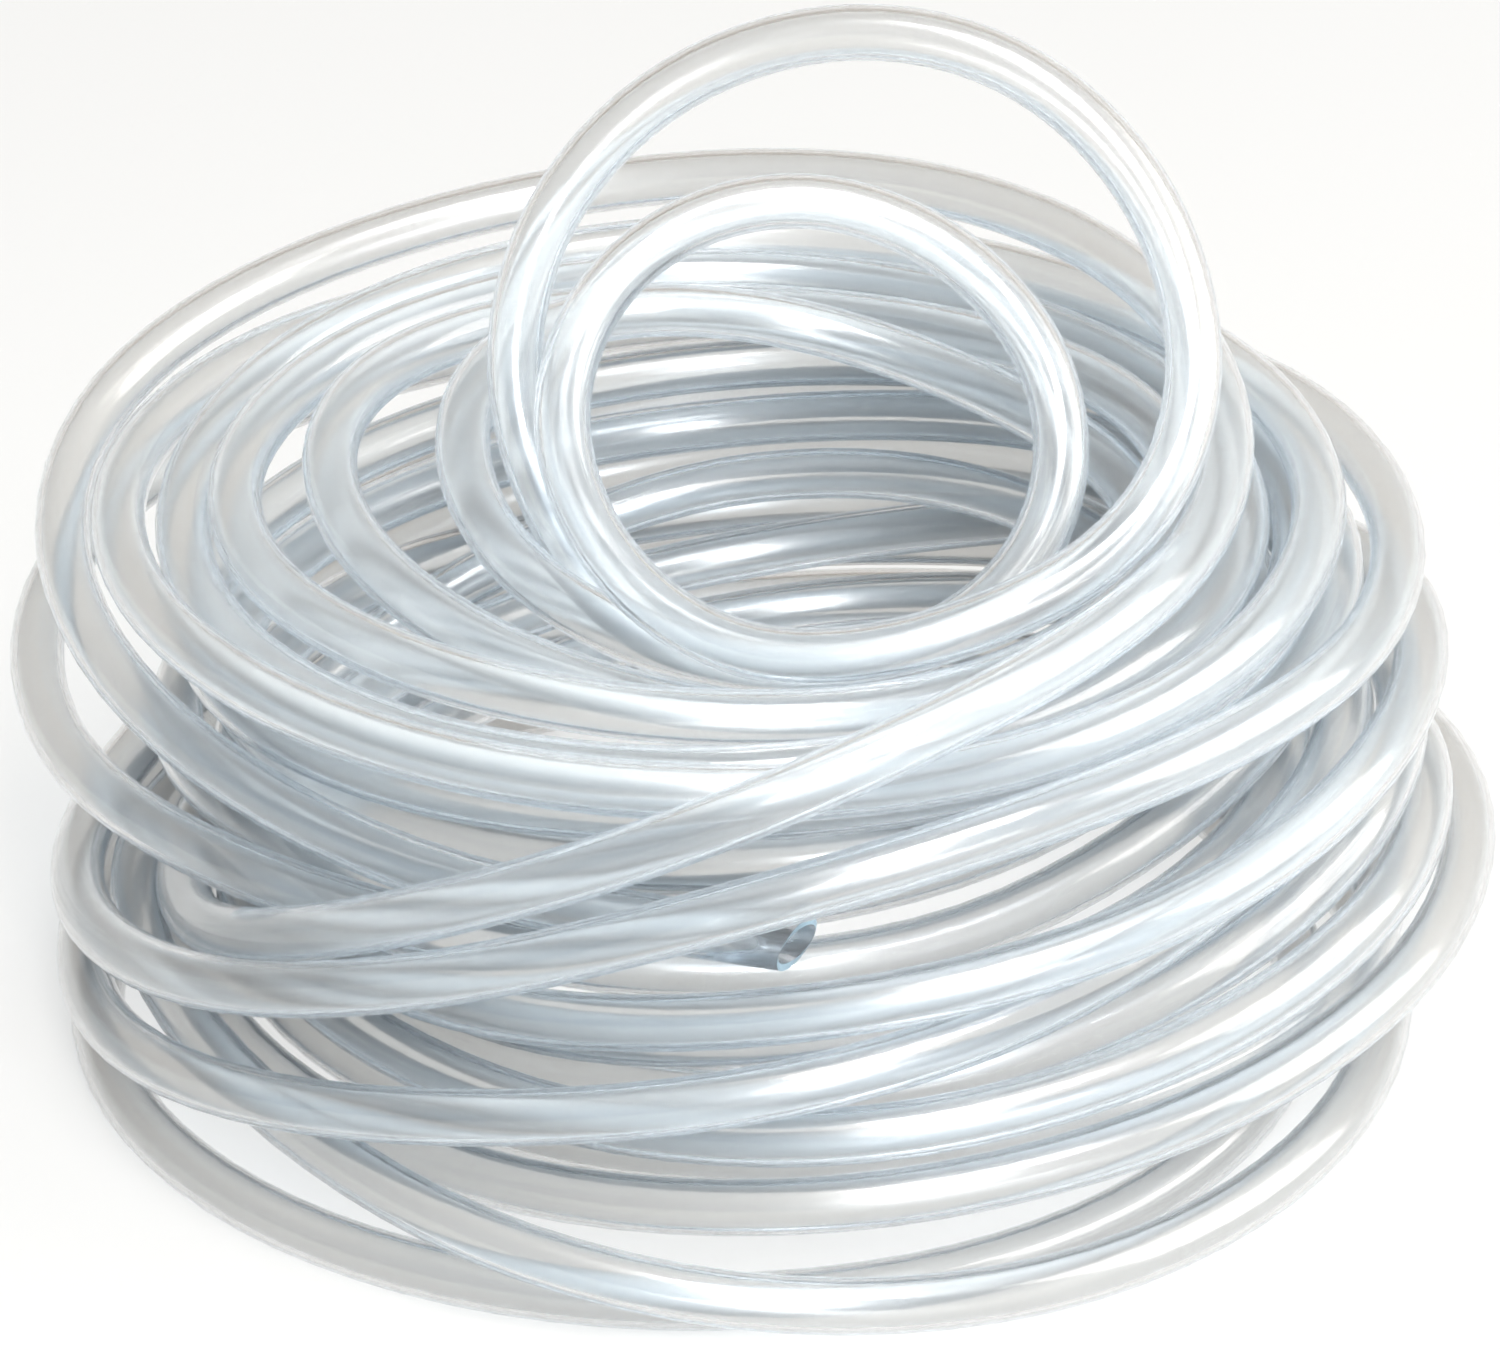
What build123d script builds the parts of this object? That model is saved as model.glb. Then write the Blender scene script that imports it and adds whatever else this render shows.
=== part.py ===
from build123d import *
import math
import os
import numpy as np

# Driving dimensions, in millimetres
bore_diameter = 6.0
wall_thickness = 1.0
coil_radius = 100.0
pile_height = 100.0
turn_clearance = 0.8
cut_end_reach = 5.5

# The tube's outside follows from its bore and wall
tube_diameter = bore_diameter + 2 * wall_thickness

# Where the tube passes the front, right, back and left of each turn:
# reach from the axis as a share of the coil's radius, height as a share of the pile's.
# The hidden end lies on the floor at the back, and the tube comes round the left to the first turn
start_shares = ((0.96, 0.045), (0.92, 0.23))
turn_shares = (
    # loose turns on the floor
    ((1.01, 0.085), (0.94, 0.07), (0.86, 0.04), (0.99, 0.04)),
    ((0.94, 0.04), (0.82, 0.05), (0.86, 0.125), (0.86, 0.13)),
    # lower wall of the basket, leaning out to the right
    ((0.92, 0.19), (1.06, 0.31), (0.87, 0.21), (0.77, 0.18)),
    ((0.82, 0.23), (0.93, 0.20), (0.77, 0.165), (0.77, 0.28)),
    ((0.91, 0.295), (0.98, 0.43), (0.74, 0.27), (0.66, 0.24)),
    ((0.82, 0.31), (0.935, 0.505), (0.86, 0.30), (1.00, 0.13)),
    ((0.92, 0.365), (0.87, 0.535), (0.84, 0.39), (0.77, 0.40)),
    ((0.87, 0.45), (0.965, 0.63), (0.72, 0.40), (0.69, 0.36)),
    ((0.80, 0.38), (0.78, 0.55), (0.86, 0.48), (1.01, 0.24)),
    # band that climbs across the front, and the turns behind it
    ((0.93, 0.67), (0.93, 0.78), (0.89, 0.70), (1.07, 0.56)),
    ((0.70, 0.425), (0.84, 0.61), (0.84, 0.57), (0.86, 0.45)),
    ((0.65, 0.49), (0.74, 0.62), (0.755, 0.575), (0.78, 0.54)),
    ((0.67, 0.59), (0.85, 0.69), (0.80, 0.66), (0.82, 0.63)),
    ((0.74, 0.72), (0.80, 0.78), (0.84, 0.80), (0.92, 0.83)),
    # upper nest, each turn inside the last
    ((0.84, 0.80), (0.81, 0.84), (0.745, 0.90), (0.84, 0.82)),
    ((0.785, 0.79), (0.70, 0.82), (0.66, 0.88), (0.76, 0.86)),
    ((0.705, 0.825), (0.62, 0.85), (0.575, 0.86), (0.62, 0.90)),
    ((0.58, 0.77), (0.57, 0.77), (0.48, 0.88), (0.42, 0.96)),
    # small and large standing loop
    ((0.50, 0.805), (0.43, 0.99), (0.05, 1.27), (0.28, 1.06)),
    ((0.59, 0.855), (0.61, 1.18), (0.05, 1.53), (0.34, 1.09)),
    # down inside the basket
    ((0.38, 0.60), (0.62, 0.56), (0.70, 0.50), (0.87, 0.255)),
    # up across the front, round the top rim and down to the cut end
    ((0.92, 0.77), (0.67, 0.985), (0.815, 0.97), (1.02, 0.735)),
)
cut_end_shares = (0.775, 0.52)

# How a turn is drawn through its four places, and how the turns settle against each other
quarter_steps = 16
steps_per_point = 4
round_share = 0.828
end_round_share = 1.35
start_slope_shares = (1, 0, 0)
cut_end_slope_shares = (1, 0, 0.3)
settle_rounds = 300
settled_share = 0.005
same_turn_share = 1.4
beside_share = 0.6
spread_steps = 8
spread_shares = np.convolve(np.ones(spread_steps), np.ones(spread_steps)) / spread_steps**2
corner_share = 1 / 8
arc_share = 0.45


def places():
    """The back, left, front and right places of every turn, from the hidden end to the cut end."""
    stops = list(start_shares)
    for turn in turn_shares:
        stops.extend(turn)
    stops.append(cut_end_shares)
    points = np.zeros((len(stops), 3))
    for i, (reach, height) in enumerate(stops):
        outward = -1 if i % 4 in (1, 2) else 1
        points[i, (i + 1) % 2] = outward * reach * coil_radius
        points[i, 2] = height * pile_height
    for i in range(1, len(stops) - 1):
        across = i % 2
        points[i, across] = (points[i - 1, across] + points[i + 1, across]) / 2
    points[-1, 0] = cut_end_reach
    return points


def rounded(points):
    """Smooth turns through the places, with slopes that make four equal places a circle."""
    slopes = np.zeros_like(points)
    slopes[1:-1] = round_share * (points[2:] - points[:-2])
    slopes[0] = end_round_share * (points[1] - points[0]) * start_slope_shares
    slopes[-1] = end_round_share * (points[-1] - points[-2]) * cut_end_slope_shares
    line = []
    for here, there, leave, arrive in zip(points, points[1:], slopes, slopes[1:]):
        for step in range(quarter_steps):
            t = step / quarter_steps
            ease = t * t * (3 - 2 * t)
            bow = t * (1 - t) * ((1 - t) * leave - t * arrive)
            line.append(here + ease * (there - here) + bow)
    line.append(points[-1])
    return np.array(line)


def settled(line):
    """Turns that would run into each other push each other apart, and none sinks into the floor."""
    pitch = tube_diameter + turn_clearance
    margin = len(spread_shares) // 2
    for _ in range(settle_rounds):
        steps = np.gradient(line, axis=0)
        runs = np.linalg.norm(steps, axis=1)
        along = steps / runs[:, None]
        squares = (line**2).sum(axis=1)
        spans = squares[:, None] + squares - 2 * line @ line.T
        one, other = np.nonzero(spans < (pitch + runs.max()) ** 2)
        apart_along = np.abs(one - other) > same_turn_share * quarter_steps
        one, other = one[apart_along], other[apart_along]
        offset = line[one] - line[other]
        ahead = (offset * along[other]).sum(axis=1)
        offset -= ahead[:, None] * along[other]
        apart = np.linalg.norm(offset, axis=1)
        tight = (np.abs(ahead) < beside_share * runs[other]) & (apart < pitch)
        if np.all(apart[tight] > (1 - settled_share) * pitch):
            break
        one, other = one[tight], other[tight]
        push = offset[tight] * (pitch / apart[tight] - 1)[:, None] / 2
        move = np.zeros_like(line)
        pushes = np.zeros(len(line))
        for sample, way in ((one, 1), (other, -1)):
            np.add.at(move, sample, way * push)
            np.add.at(pushes, sample, 1)
        move /= np.maximum(pushes, 1)[:, None]
        padded = np.pad(2 * move, ((margin, margin), (0, 0)), mode="edge")
        for axis in range(3):
            line[:, axis] += np.convolve(padded[:, axis], spread_shares, mode="valid")
        line[:, 2] = np.maximum(line[:, 2], tube_diameter / 2)
    return line


def route():
    """The corners of the tube's route, set out a little because the tube cuts inside them."""
    line = settled(rounded(places()))
    middle = (line.min(axis=0) + line.max(axis=0)) / 2
    points = line[::steps_per_point]
    bends = points[2:] - 2 * points[1:-1] + points[:-2]
    points[1:-1] -= corner_share * bends
    points[:, 2] = np.maximum(points[:, 2], tube_diameter / 2)
    return points - (middle[0], middle[1], 0)


def bent_path(points):
    """Straight runs joined by tangent arcs, each as large as its two runs allow."""
    corners = [Vector(*(float(c) for c in point)) for point in points]
    edges = []
    radii = []
    leave = corners[0]
    for before, corner, after in zip(corners, corners[1:], corners[2:]):
        run_in = corner - before
        run_out = after - corner
        half_turn = math.radians(run_in.get_angle(run_out)) / 2
        cut = arc_share * min(run_in.length, run_out.length)
        radius = cut / math.tan(half_turn)
        inward = (run_out.normalized() - run_in.normalized()).normalized()
        arc_start = corner - run_in.normalized() * cut
        arc_middle = corner + inward * (radius / math.cos(half_turn) - radius)
        arc_end = corner + run_out.normalized() * cut
        edges.append(Edge.make_line(leave, arc_start))
        edges.append(Edge.make_three_point_arc(arc_start, arc_middle, arc_end))
        radii.append(radius)
        leave = arc_end
    edges.append(Edge.make_line(leave, corners[-1]))
    return Wire(edges), radii


def wall(path, diameter):
    """One wall of the tube: a circle carried along the whole path."""
    across = Plane(origin=path @ 0, z_dir=path % 0)
    return Shell.sweep(Wire([Edge.make_circle(diameter / 2, across)]), path)


def cut_face(path, place):
    """The ring of bare wall that shows where the tube was cut."""
    across = Plane(origin=path @ place, z_dir=path % place)
    rim = Wire([Edge.make_circle(tube_diameter / 2, across)])
    mouth = Wire([Edge.make_circle(bore_diameter / 2, across)])
    return Face(rim, [mouth])


def tubing():
    """One hollow tube, open at both cut ends."""
    path, radii = bent_path(route())
    faces = wall(path, tube_diameter).faces() + wall(path, bore_diameter).faces()
    faces += [cut_face(path, 0), cut_face(path, 1)]
    tube = Solid(Shell(faces))
    section = math.pi * (tube_diameter**2 - bore_diameter**2) / 4
    print(f"bend radii {min(radii):.1f} to {max(radii):.1f} mm")
    print(f"tube length {path.length:.1f} mm")
    print(f"volume {tube.volume:.1f}, section times length {section * path.length:.1f} mm3")
    print("hidden end", path @ 0, "leaves along", -(path % 0))
    print("cut end", path @ 1, "leaves along", path % 1)
    return tube


os.makedirs("parts", exist_ok=True)
export_step(tubing(), "parts/tubing.step")
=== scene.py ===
import math
import bpy
import numpy as np
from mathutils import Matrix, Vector


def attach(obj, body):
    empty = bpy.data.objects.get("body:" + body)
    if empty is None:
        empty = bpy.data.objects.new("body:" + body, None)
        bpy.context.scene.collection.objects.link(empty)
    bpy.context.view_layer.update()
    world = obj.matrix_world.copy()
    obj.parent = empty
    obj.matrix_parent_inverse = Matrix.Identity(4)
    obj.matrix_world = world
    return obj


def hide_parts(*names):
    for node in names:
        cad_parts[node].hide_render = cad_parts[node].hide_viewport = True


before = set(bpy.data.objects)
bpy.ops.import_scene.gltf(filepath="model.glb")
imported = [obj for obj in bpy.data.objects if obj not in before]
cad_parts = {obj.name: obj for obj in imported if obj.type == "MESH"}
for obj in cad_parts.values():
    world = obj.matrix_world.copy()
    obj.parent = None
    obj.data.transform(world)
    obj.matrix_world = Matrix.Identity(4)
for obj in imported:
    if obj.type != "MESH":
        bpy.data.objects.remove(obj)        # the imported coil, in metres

scene = bpy.context.scene
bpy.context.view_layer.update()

# lay of the coil: where the tube passes the front, right, back and left of each turn,
# reach as a share of the coil's radius, height as a share of the pile's height
coilLay = {
    "boreDiameter": 0.006,
    "wallThickness": 0.001,
    "coilRadius": 0.100,
    "pileHeight": 0.100,
    "turnClearance": 0.0008,
    "cutEndReach": 0.0055,
    "startShares": ((0.96, 0.045), (0.92, 0.23)),       # hidden end at the back, then round the left
    "turnShares": (
        # loose turns on the floor
        ((1.01, 0.085), (0.94, 0.07), (0.86, 0.04), (0.99, 0.04)),
        ((0.94, 0.04), (0.82, 0.05), (0.86, 0.125), (0.86, 0.13)),
        # lower wall of the basket, leaning out to the right
        ((0.92, 0.19), (1.06, 0.31), (0.87, 0.21), (0.77, 0.18)),
        ((0.82, 0.23), (0.93, 0.20), (0.77, 0.165), (0.77, 0.28)),
        ((0.91, 0.295), (0.98, 0.43), (0.74, 0.27), (0.66, 0.24)),
        ((0.82, 0.31), (0.935, 0.505), (0.86, 0.30), (1.00, 0.13)),
        ((0.92, 0.365), (0.87, 0.535), (0.84, 0.39), (0.77, 0.40)),
        ((0.87, 0.45), (0.965, 0.63), (0.72, 0.40), (0.69, 0.36)),
        ((0.80, 0.38), (0.78, 0.55), (0.86, 0.48), (1.01, 0.24)),
        # band that climbs across the front, and the turns behind it
        ((0.93, 0.67), (0.93, 0.78), (0.89, 0.70), (1.07, 0.56)),
        ((0.70, 0.425), (0.84, 0.61), (0.84, 0.57), (0.86, 0.45)),
        ((0.65, 0.49), (0.74, 0.62), (0.755, 0.575), (0.78, 0.54)),
        ((0.67, 0.59), (0.85, 0.69), (0.80, 0.66), (0.82, 0.63)),
        ((0.74, 0.72), (0.80, 0.78), (0.84, 0.80), (0.92, 0.83)),
        # upper nest, each turn inside the last
        ((0.84, 0.80), (0.81, 0.84), (0.745, 0.90), (0.84, 0.82)),
        ((0.785, 0.79), (0.70, 0.82), (0.66, 0.88), (0.76, 0.86)),
        ((0.705, 0.825), (0.62, 0.85), (0.575, 0.86), (0.62, 0.90)),
        ((0.58, 0.77), (0.57, 0.77), (0.48, 0.88), (0.42, 0.96)),
        # small and large standing loop
        ((0.50, 0.805), (0.43, 0.99), (0.05, 1.27), (0.28, 1.06)),
        ((0.59, 0.855), (0.61, 1.18), (0.05, 1.53), (0.34, 1.09)),
        # down inside the basket
        ((0.38, 0.60), (0.62, 0.56), (0.70, 0.50), (0.87, 0.255)),
        # up across the front, round the top rim and down to the cut end
        ((0.92, 0.77), (0.67, 0.985), (0.815, 0.97), (1.02, 0.735)),
    ),
    "cutEndShares": (0.775, 0.52),
    "quarterSteps": 16,                 # samples in a quarter turn
    "stepsPerPoint": 4,                 # samples from one control point to the next
    "roundShare": 0.828,                # slope that makes four equal places a circle
    "endRoundShare": 1.35,
    "startSlopeShares": (1, 0, 0),
    "cutEndSlopeShares": (1, 0, 0.3),
    "settleRounds": 300,
    "settledShare": 0.005,              # how much too near two turns may stay
    "sameTurnShare": 1.4,               # quarters between two stretches that push each other
    "besideShare": 0.6,                 # of a step, how far ahead still counts as beside
    "spreadSteps": 8,                   # half-width of a push, in samples
    "cornerShare": 1 / 8,
}
tubeDiameter = coilLay["boreDiameter"] + 2 * coilLay["wallThickness"]


# back, left, front and right places of every turn, from the hidden end to the cut end
def turnPlaces(lay):
    stops = list(lay["startShares"])
    for turn in lay["turnShares"]:
        stops.extend(turn)
    stops.append(lay["cutEndShares"])
    places = np.zeros((len(stops), 3))
    for i, (reach, height) in enumerate(stops):
        outward = -1 if i % 4 in (1, 2) else 1
        places[i, (i + 1) % 2] = outward * reach * lay["coilRadius"]
        places[i, 2] = height * lay["pileHeight"]
    for i in range(1, len(stops) - 1):
        across = i % 2
        places[i, across] = (places[i - 1, across] + places[i + 1, across]) / 2
    places[-1, 0] = lay["cutEndReach"]
    return places


# turns wound through the places, with slopes that make four equal places a circle
def windTurns(lay, places):
    slopes = np.zeros_like(places)
    slopes[1:-1] = lay["roundShare"] * (places[2:] - places[:-2])
    slopes[0] = lay["endRoundShare"] * (places[1] - places[0]) * lay["startSlopeShares"]
    slopes[-1] = lay["endRoundShare"] * (places[-1] - places[-2]) * lay["cutEndSlopeShares"]
    line = []
    for here, there, leave, arrive in zip(places, places[1:], slopes, slopes[1:]):
        for step in range(lay["quarterSteps"]):
            t = step / lay["quarterSteps"]
            ease = t * t * (3 - 2 * t)
            bow = t * (1 - t) * ((1 - t) * leave - t * arrive)
            line.append(here + ease * (there - here) + bow)
    line.append(places[-1])
    return np.array(line)


# turns that would run into each other push each other apart, and none sinks into the floor
def settleTurns(lay, line):
    pitch = tubeDiameter + lay["turnClearance"]
    spread = np.convolve(np.ones(lay["spreadSteps"]), np.ones(lay["spreadSteps"])) / lay["spreadSteps"]**2
    margin = len(spread) // 2
    for _ in range(lay["settleRounds"]):
        steps = np.gradient(line, axis=0)
        runs = np.linalg.norm(steps, axis=1)
        along = steps / runs[:, None]
        squares = (line**2).sum(axis=1)
        spans = squares[:, None] + squares - 2 * line @ line.T
        one, other = np.nonzero(spans < (pitch + runs.max()) ** 2)
        apartAlong = np.abs(one - other) > lay["sameTurnShare"] * lay["quarterSteps"]
        one, other = one[apartAlong], other[apartAlong]
        offset = line[one] - line[other]
        ahead = (offset * along[other]).sum(axis=1)
        offset -= ahead[:, None] * along[other]
        apart = np.linalg.norm(offset, axis=1)
        tight = (np.abs(ahead) < lay["besideShare"] * runs[other]) & (apart < pitch)
        if np.all(apart[tight] > (1 - lay["settledShare"]) * pitch):
            break
        one, other = one[tight], other[tight]
        push = offset[tight] * (pitch / apart[tight] - 1)[:, None] / 2
        move = np.zeros_like(line)
        pushes = np.zeros(len(line))
        for sample, way in ((one, 1), (other, -1)):
            np.add.at(move, sample, way * push)
            np.add.at(pushes, sample, 1)
        move /= np.maximum(pushes, 1)[:, None]
        padded = np.pad(2 * move, ((margin, margin), (0, 0)), mode="edge")
        for axis in range(3):
            line[:, axis] += np.convolve(padded[:, axis], spread, mode="valid")
        line[:, 2] = np.maximum(line[:, 2], tubeDiameter / 2)
    return line


# control points of the tube's line, set out a little because the line cuts inside them
def tubeRoute(lay):
    line = settleTurns(lay, windTurns(lay, turnPlaces(lay)))
    middle = (line.min(axis=0) + line.max(axis=0)) / 2
    points = line[::lay["stepsPerPoint"]]
    bends = points[2:] - 2 * points[1:-1] + points[:-2]
    points[1:-1] -= lay["cornerShare"] * bends
    points[:, 2] = np.maximum(points[:, 2], tubeDiameter / 2)
    return points - (middle[0], middle[1], 0)


tubeMesh = {
    "lineSteps": 5,             # rings between two control points
    "sides": 26,
    "cutSlant": (0, 0.5, 0.2),  # the scissor cut leans: its back and top reach further along the tube
}


# the route as one smooth spline, read back as the centres of the tube's rings
def ringCentres(points):
    curve = bpy.data.curves.new("tubeLine", "CURVE")
    curve.dimensions = "3D"
    spline = curve.splines.new("NURBS")
    spline.points.add(len(points) - 1)
    for place, point in zip(spline.points, points):
        place.co = (*point, 1)
    spline.order_u = 3
    spline.use_endpoint_u = True
    spline.resolution_u = tubeMesh["lineSteps"]
    holder = bpy.data.objects.new("tubeLine", curve)
    scene.collection.objects.link(holder)
    mesh = bpy.data.meshes.new_from_object(holder)
    centres = [vertex.co.copy() for vertex in mesh.vertices]
    bpy.data.objects.remove(holder)
    bpy.data.curves.remove(curve)
    return mesh, centres


# Geometry Nodes: a wall of the tube carried along the line, with its place along and around kept
def tubeTree():
    tree = bpy.data.node_groups.new("tubeAlongLine", "GeometryNodeTree")
    addSocket = tree.interface.new_socket
    addSocket("Line", in_out="INPUT", socket_type="NodeSocketGeometry")
    addSocket("Radius", in_out="INPUT", socket_type="NodeSocketFloat")
    addSocket("Sides", in_out="INPUT", socket_type="NodeSocketInt")
    addSocket("Silicone", in_out="INPUT", socket_type="NodeSocketMaterial")
    addSocket("Tube", in_out="OUTPUT", socket_type="NodeSocketGeometry")
    nodes, link = tree.nodes, tree.links.new
    given = nodes.new("NodeGroupInput")
    result = nodes.new("NodeGroupOutput")
    toCurve = nodes.new("GeometryNodeMeshToCurve")
    link(given.outputs["Line"], toCurve.inputs["Mesh"])
    circle = nodes.new("GeometryNodeCurvePrimitiveCircle")
    link(given.outputs["Radius"], circle.inputs["Radius"])
    link(given.outputs["Sides"], circle.inputs["Resolution"])
    place = nodes.new("GeometryNodeSplineParameter")
    keepAlong = nodes.new("GeometryNodeCaptureAttribute")
    keepAlong.capture_items.new("FLOAT", "along")
    link(toCurve.outputs["Curve"], keepAlong.inputs["Geometry"])
    link(place.outputs["Length"], keepAlong.inputs["along"])
    keepAround = nodes.new("GeometryNodeCaptureAttribute")
    keepAround.capture_items.new("FLOAT", "around")
    link(circle.outputs["Curve"], keepAround.inputs["Geometry"])
    link(place.outputs["Factor"], keepAround.inputs["around"])
    sweep = nodes.new("GeometryNodeCurveToMesh")
    link(keepAlong.outputs["Geometry"], sweep.inputs["Curve"])
    link(keepAround.outputs["Geometry"], sweep.inputs["Profile Curve"])
    geometry = sweep.outputs["Mesh"]
    for name, kept in (("along", keepAlong), ("around", keepAround)):
        store = nodes.new("GeometryNodeStoreNamedAttribute")
        store.data_type = "FLOAT"
        store.domain = "POINT"
        store.inputs["Name"].default_value = name
        link(geometry, store.inputs["Geometry"])
        link(kept.outputs[name], store.inputs["Value"])
        geometry = store.outputs["Geometry"]
    smooth = nodes.new("GeometryNodeSetShadeSmooth")
    link(geometry, smooth.inputs["Geometry"])
    realize = nodes.new("GeometryNodeRealizeInstances")
    link(smooth.outputs["Geometry"], realize.inputs["Geometry"])
    paint = nodes.new("GeometryNodeSetMaterial")
    link(realize.outputs["Geometry"], paint.inputs["Geometry"])
    link(given.outputs["Silicone"], paint.inputs["Material"])
    link(paint.outputs["Geometry"], result.inputs["Tube"])
    return tree


def socketNames(tree):
    return {item.name: item.identifier for item in tree.interface.items_tree if item.in_out == "INPUT"}


# modifiers made real: the piece's mesh as evaluated, with nothing live left on it
def applyModifiers(piece):
    depsgraph = bpy.context.evaluated_depsgraph_get()
    mesh = bpy.data.meshes.new_from_object(piece.evaluated_get(depsgraph))
    piece.modifiers.clear()
    piece.data = mesh


siliconeLook = {
    "colour": (0.82, 0.81, 0.795, 1),
    "index": 1.41,
    "clear": 0.96,                      # the rest is the milky haze of the rubber
    "roughness": 0.12,
    "skinGloss": (0.55, 1.0),           # the extruded skin, from its dullest to its glossiest streaks
    "skinRoughness": (0.26, 0.16),
    "streaks": 7,                       # how fine they are around the tube
    "streakStretch": 5,                 # noise waves to the metre along it
    "streakDetail": 1,
    "streakSpan": (0.3, 0.7),           # the noise from the dullest streak to the glossiest
    "shade": (0.815, 0.84, 0.86, 1),    # light that passes each surface to what lies behind
    "depth": 4,                         # surfaces seen through before the pile looks solid
    "deepHaze": (0.80, 0.85, 0.885, 1),
}


# streaks that run along the tube, from its own place along and around
def skinStreaks(nodes, link):
    along = nodes.new("ShaderNodeAttribute")
    along.attribute_name = "along"
    around = nodes.new("ShaderNodeAttribute")
    around.attribute_name = "around"
    turn = nodes.new("ShaderNodeMath")
    turn.operation = "MULTIPLY"
    turn.inputs[1].default_value = 2 * math.pi
    link(around.outputs["Fac"], turn.inputs[0])
    ring = []
    for operation in ("COSINE", "SINE"):
        wave = nodes.new("ShaderNodeMath")
        wave.operation = operation
        link(turn.outputs[0], wave.inputs[0])
        ring.append(wave)
    length = nodes.new("ShaderNodeMath")
    length.operation = "MULTIPLY"
    length.inputs[1].default_value = siliconeLook["streakStretch"] / siliconeLook["streaks"]
    link(along.outputs["Fac"], length.inputs[0])
    place = nodes.new("ShaderNodeCombineXYZ")
    for node, socket in zip((*ring, length), place.inputs):
        link(node.outputs[0], socket)
    streak = nodes.new("ShaderNodeTexNoise")
    streak.inputs["Scale"].default_value = siliconeLook["streaks"]
    streak.inputs["Detail"].default_value = siliconeLook["streakDetail"]
    link(place.outputs[0], streak.inputs["Vector"])
    return streak.outputs["Fac"]


# clear rubber with a streaky gloss:
# it lets light through to what it shades, and looks solid deep in the pile
def clearSilicone():
    material = bpy.data.materials.new("clearSilicone")
    material.use_nodes = True
    nodes, link = material.node_tree.nodes, material.node_tree.links.new
    shader = nodes["Principled BSDF"]
    shader.inputs["Base Color"].default_value = siliconeLook["colour"]
    shader.inputs["IOR"].default_value = siliconeLook["index"]
    shader.inputs["Roughness"].default_value = siliconeLook["roughness"]
    shader.inputs["Transmission Weight"].default_value = siliconeLook["clear"]
    streak = skinStreaks(nodes, link)
    for name, span in (("Coat Weight", "skinGloss"), ("Coat Roughness", "skinRoughness")):
        level = nodes.new("ShaderNodeMapRange")
        for end, noise, value in zip(("Min", "Max"), siliconeLook["streakSpan"], siliconeLook[span]):
            level.inputs["From " + end].default_value = noise
            level.inputs["To " + end].default_value = value
        link(streak, level.inputs["Value"])
        link(level.outputs[0], shader.inputs[name])
    path = nodes.new("ShaderNodeLightPath")
    haze = nodes.new("ShaderNodeBsdfDiffuse")
    haze.inputs["Color"].default_value = siliconeLook["deepHaze"]
    deep = nodes.new("ShaderNodeMath")
    deep.operation = "GREATER_THAN"
    deep.inputs[1].default_value = siliconeLook["depth"]
    link(path.outputs["Ray Depth"], deep.inputs[0])
    shade = nodes.new("ShaderNodeBsdfTransparent")
    shade.inputs["Color"].default_value = siliconeLook["shade"]
    surface = shader.outputs[0]
    for share, other in ((deep.outputs[0], haze), (path.outputs["Is Shadow Ray"], shade)):
        mixed = nodes.new("ShaderNodeMixShader")
        link(share, mixed.inputs[0])
        link(surface, mixed.inputs[1])
        link(other.outputs[0], mixed.inputs[2])
        surface = mixed.outputs[0]
    link(surface, nodes["Material Output"].inputs["Surface"])
    return material


# the bare ring of wall at a cut end, drawn opaque: its dark blue-grey is painted shade, since the clear
# rubber's cut face only looks dark
cutShadeLook = {
    # painted shade: a darker blue-grey than the clear rubber, so the cut ring shows dark
    "colour": (0.30, 0.40, 0.46, 1),
    "roughness": 0.45,
}


def cutRingShade():
    material = bpy.data.materials.new("cutRingShade")
    material.use_nodes = True
    shader = material.node_tree.nodes["Principled BSDF"]
    shader.inputs["Base Color"].default_value = cutShadeLook["colour"]
    shader.inputs["Roughness"].default_value = cutShadeLook["roughness"]
    return material


# the outer wall along the line, then the slanted cut, then the wall's thickness inwards
def makeTube():
    lineMesh, centres = ringCentres(tubeRoute(coilLay))
    tube = bpy.data.objects.new("tubingSkin", lineMesh)
    scene.collection.objects.link(tube)
    tree = tubeTree()
    sweep = tube.modifiers.new("tubeAlongLine", "NODES")
    sweep.node_group = tree
    names = socketNames(tree)
    sweep[names["Radius"]] = tubeDiameter / 2
    sweep[names["Sides"]] = tubeMesh["sides"]
    sweep[names["Silicone"]] = clearSilicone()
    applyModifiers(tube)
    print("outer wall made,", len(centres), "rings of", tubeMesh["sides"], "sides")
    onward = (centres[-1] - centres[-2]).normalized()
    for vertex in list(tube.data.vertices)[-tubeMesh["sides"]:]:
        vertex.co += onward * (vertex.co - centres[-1]).dot(Vector(tubeMesh["cutSlant"]))
    wall = tube.modifiers.new("wall", "SOLIDIFY")
    wall.thickness = coilLay["wallThickness"]
    wall.offset = -1
    wall.use_even_offset = True
    wallRim = len(tube.data.materials)
    # the cut ring gets the painted-shade material
    tube.data.materials.append(cutRingShade())
    wall.material_offset_rim = wallRim
    applyModifiers(tube)
    for face in tube.data.polygons:
        if face.material_index == wallRim:
            face.use_smooth = False     # the cut's edges stay crisp
    tube.data.calc_loop_triangles()
    print("tube made,", len(tube.data.loop_triangles), "triangles")
    return tube, centres


tube, centres = makeTube()
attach(tube, "root")
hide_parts("tubing")

stageLook = {
    "floorHalf": 2.5,
    "floorColour": (0.2, 0.2, 0.197, 1),
    "floorRoughness": 0.9,
    "floorGloss": 0.1,
    "floorLift": 0.655,             # brings the floor up to the backdrop's white, under the shadow
}
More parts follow.
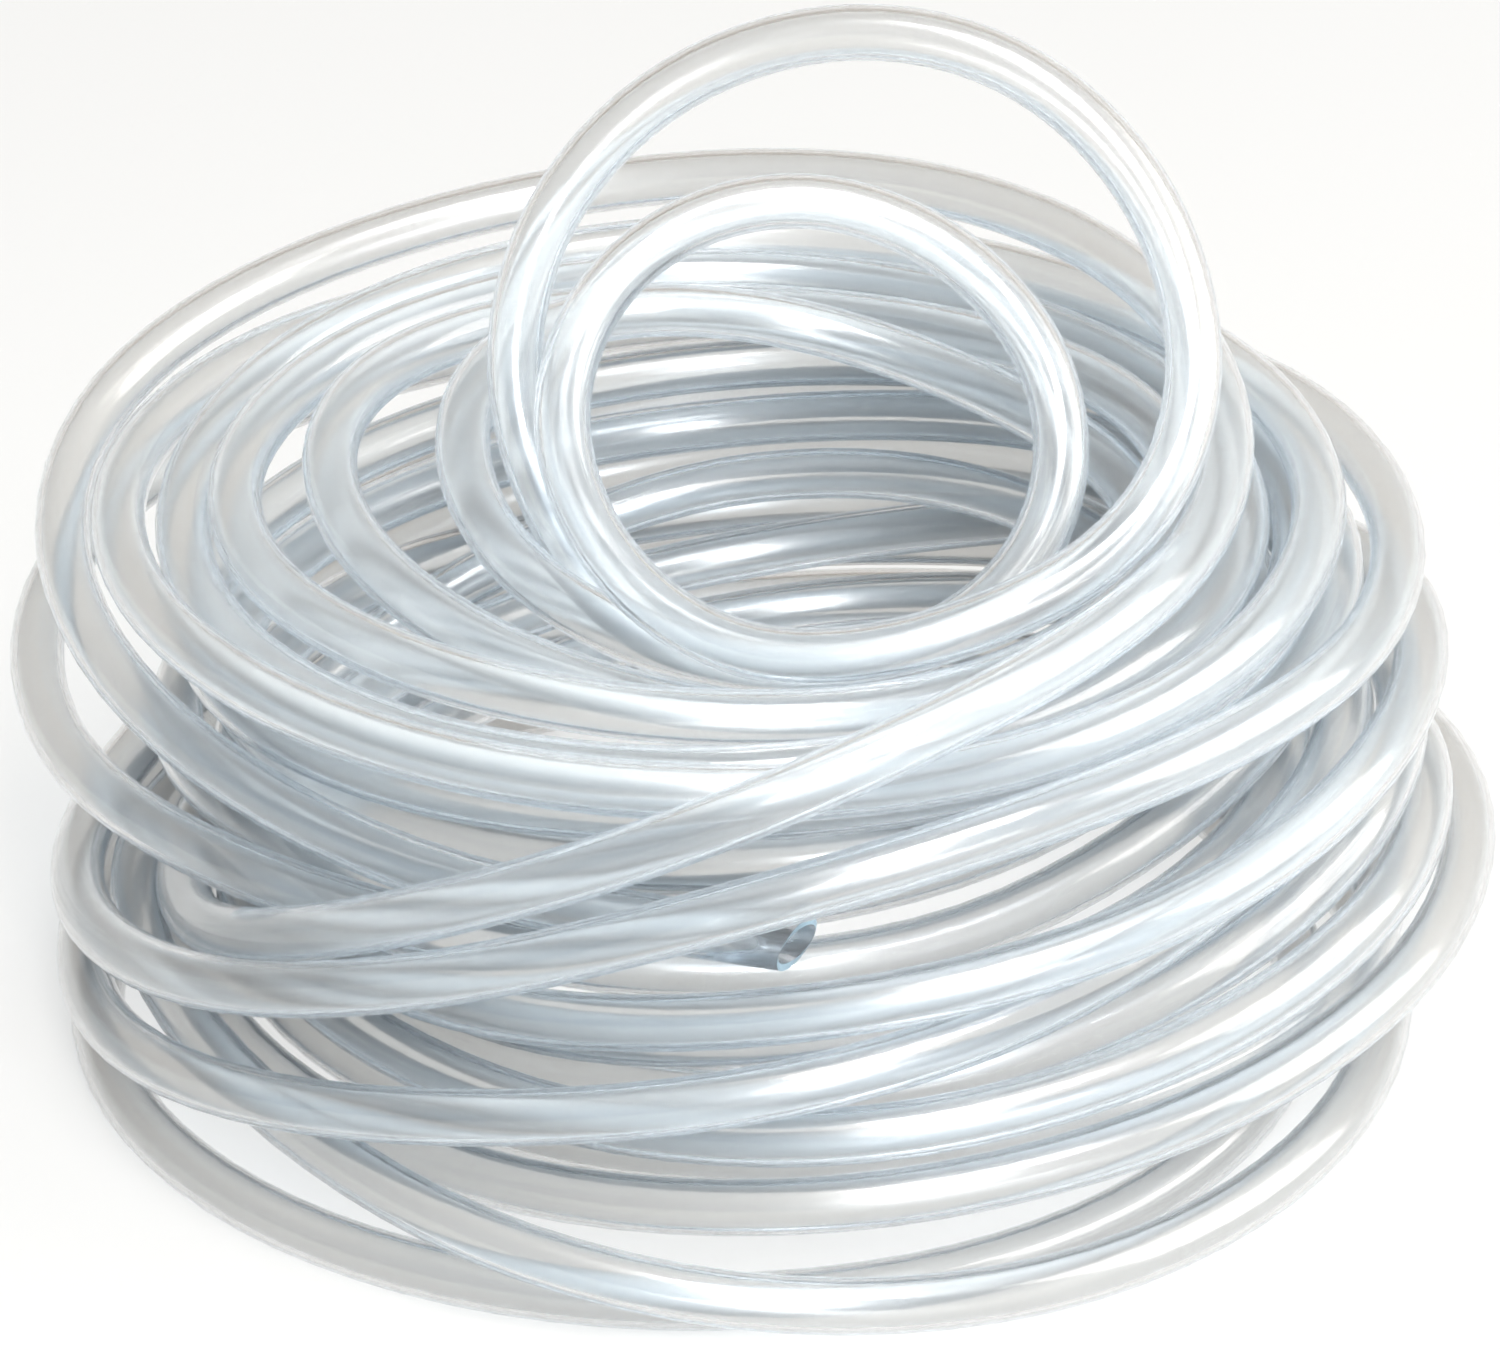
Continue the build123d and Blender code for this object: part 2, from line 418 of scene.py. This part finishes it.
# a white backdrop all round, warm grey above it at the back and cool grey at the front
skyLook = {
    "backdrop": (0.98, 0.973, 0.956, 1),
    "frontLeft": (0.12, 0.19, 0.25, 1),
    "frontRight": (0.50, 0.55, 0.58, 1),
    "backLeft": (0.42, 0.38, 0.33, 1),
    "backRight": (0.62, 0.58, 0.53, 1),
    "leftToRight": (-0.8, 0.8),     # where one colour passes into the next, along each axis
    "frontToBack": (-0.6, 0.6),
    "backdropEdge": (0.05, 0.30),
    "level": 0.6,
}


# 1 for what the camera sees directly, mirrored or through the rubber
def seenOrMirrored(nodes, link):
    path = nodes.new("ShaderNodeLightPath")
    seen = path.outputs["Is Camera Ray"]
    for name in ("Is Transmission Ray", "Is Glossy Ray"):
        either = nodes.new("ShaderNodeMath")
        either.operation = "MAXIMUM"
        link(seen, either.inputs[0])
        link(path.outputs[name], either.inputs[1])
        seen = either.outputs[0]
    return seen


def makeFloor():
    half = stageLook["floorHalf"]
    mesh = bpy.data.meshes.new("floor")
    corners = [(-half, -half, 0), (half, -half, 0), (half, half, 0), (-half, half, 0)]
    mesh.from_pydata(corners, [], [(0, 1, 2, 3)])
    floor = bpy.data.objects.new("floor", mesh)
    scene.collection.objects.link(floor)
    material = bpy.data.materials.new("paleFloor")
    material.use_nodes = True
    nodes, link = material.node_tree.nodes, material.node_tree.links.new
    shader = nodes["Principled BSDF"]
    shader.inputs["Base Color"].default_value = stageLook["floorColour"]
    shader.inputs["Roughness"].default_value = stageLook["floorRoughness"]
    shader.inputs["Specular IOR Level"].default_value = stageLook["floorGloss"]
    shader.inputs["Emission Color"].default_value = skyLook["backdrop"]
    lift = nodes.new("ShaderNodeMath")
    lift.operation = "MULTIPLY"
    lift.inputs[1].default_value = stageLook["floorLift"]
    link(seenOrMirrored(nodes, link), lift.inputs[0])
    link(lift.outputs[0], shader.inputs["Emission Strength"])
    mesh.materials.append(material)


def makeSky():
    world = bpy.data.worlds.new("studio")
    world.use_nodes = True
    scene.world = world
    nodes, link = world.node_tree.nodes, world.node_tree.links.new
    nodes.clear()
    output = nodes.new("ShaderNodeOutputWorld")
    place = nodes.new("ShaderNodeTexCoord")
    axes = nodes.new("ShaderNodeSeparateXYZ")
    link(place.outputs["Generated"], axes.inputs[0])

    # from 0 to 1 over a span of one axis
    def ramp(axis, span):
        node = nodes.new("ShaderNodeMapRange")
        node.interpolation_type = "SMOOTHSTEP"
        node.inputs["From Min"].default_value, node.inputs["From Max"].default_value = span
        link(axes.outputs[axis], node.inputs["Value"])
        return node.outputs[0]

    # each end is a plain colour or an earlier blend
    def blend(share, low, high):
        node = nodes.new("ShaderNodeMix")
        node.data_type = "RGBA"
        link(share, node.inputs["Factor"])
        for socket, colour in ((node.inputs["A"], low), (node.inputs["B"], high)):
            if isinstance(colour, tuple):
                socket.default_value = colour
            else:
                link(colour, socket)
        return node.outputs["Result"]

    front = blend(ramp("X", skyLook["leftToRight"]), skyLook["frontLeft"], skyLook["frontRight"])
    back = blend(ramp("X", skyLook["leftToRight"]), skyLook["backLeft"], skyLook["backRight"])
    dome = blend(ramp("Y", skyLook["frontToBack"]), front, back)
    backdrop = blend(ramp("Z", skyLook["backdropEdge"]), skyLook["backdrop"], dome)
    shown = nodes.new("ShaderNodeBackground")
    link(backdrop, shown.inputs["Color"])
    lighting = nodes.new("ShaderNodeBackground")
    link(dome, lighting.inputs["Color"])
    lighting.inputs["Strength"].default_value = skyLook["level"]
    mixed = nodes.new("ShaderNodeMixShader")
    link(seenOrMirrored(nodes, link), mixed.inputs[0])
    link(lighting.outputs[0], mixed.inputs[1])
    link(shown.outputs[0], mixed.inputs[2])
    link(mixed.outputs[0], output.inputs["Surface"])


lightAim = (0, 0, 0.05)     # the middle of the pile
softboxes = (
    {"name": "keyBox", "place": (0.165, -1.18, 1.07), "size": (0.28, 0.70),
     "watts": 25, "colour": (1, 1, 1)},
    {"name": "rightBox", "place": (1.3, -0.1, 0.8), "size": (1.3, 1.3),
     "watts": 23, "colour": (1, 0.98, 0.96)},
    {"name": "topBox", "place": (0.2, -0.55, 1.45), "size": (0.6, 0.6),
     "watts": 19, "colour": (1, 1, 1)},
)


def makeLights():
    aim = Vector(lightAim)
    for box in softboxes:
        lamp = bpy.data.lights.new(box["name"], "AREA")
        lamp.shape = "RECTANGLE"
        lamp.size, lamp.size_y = box["size"]
        lamp.energy = box["watts"]
        lamp.color = box["colour"]
        holder = bpy.data.objects.new(box["name"], lamp)
        holder.location = box["place"]
        holder.rotation_euler = (aim - holder.location).to_track_quat("-Z", "Y").to_euler()
        scene.collection.objects.link(holder)


cameraView = {
    "target": (0.0005, 0.0023, 0.050),
    "elevation": 28,            # degrees above the floor
    "distance": 0.950,
    "focalPixels": 6412.5,
    "imageWidth": 1500,
    "imageHeight": 1350,
    "axisPixel": (757, 692),    # where the target shows in the photograph
    "sensorWidth": 36,          # millimetres
    "clipEnd": 20,
}


def makeCamera():
    tilt = math.radians(cameraView["elevation"])
    away = Vector((0, -math.cos(tilt), math.sin(tilt)))
    up = Vector((0, math.sin(tilt), math.cos(tilt)))
    target = Vector(cameraView["target"])
    place = target + away * cameraView["distance"]
    perPixel = cameraView["distance"] / cameraView["focalPixels"]
    left = (cameraView["axisPixel"][0] - cameraView["imageWidth"] / 2) * perPixel
    raised = (cameraView["axisPixel"][1] - cameraView["imageHeight"] / 2) * perPixel
    aim = target + Vector((-left, 0, 0)) + up * raised
    lens = bpy.data.cameras.new("photoView")
    lens.sensor_width = cameraView["sensorWidth"]
    lens.lens = cameraView["sensorWidth"] * cameraView["focalPixels"] / cameraView["imageWidth"]
    lens.clip_end = cameraView["clipEnd"]
    holder = bpy.data.objects.new("photoView", lens)
    holder.location = place
    holder.rotation_euler = (aim - place).to_track_quat("-Z", "Y").to_euler()
    scene.collection.objects.link(holder)
    scene.camera = holder


# these keep a render short, with so many clear walls behind each other
lightPaths = {
    "use_light_tree": False,
    "max_bounces": 8,
    "transmission_bounces": 8,
    "glossy_bounces": 6,
    "diffuse_bounces": 2,
    "adaptive_threshold": 0.1,
}

makeFloor()
makeSky()
makeLights()
makeCamera()
scene.view_settings.view_transform = "Standard"
scene.world.cycles.sampling_method = "NONE"
for name, value in lightPaths.items():
    setattr(scene.cycles, name, value)
print("stage, lights and camera set")
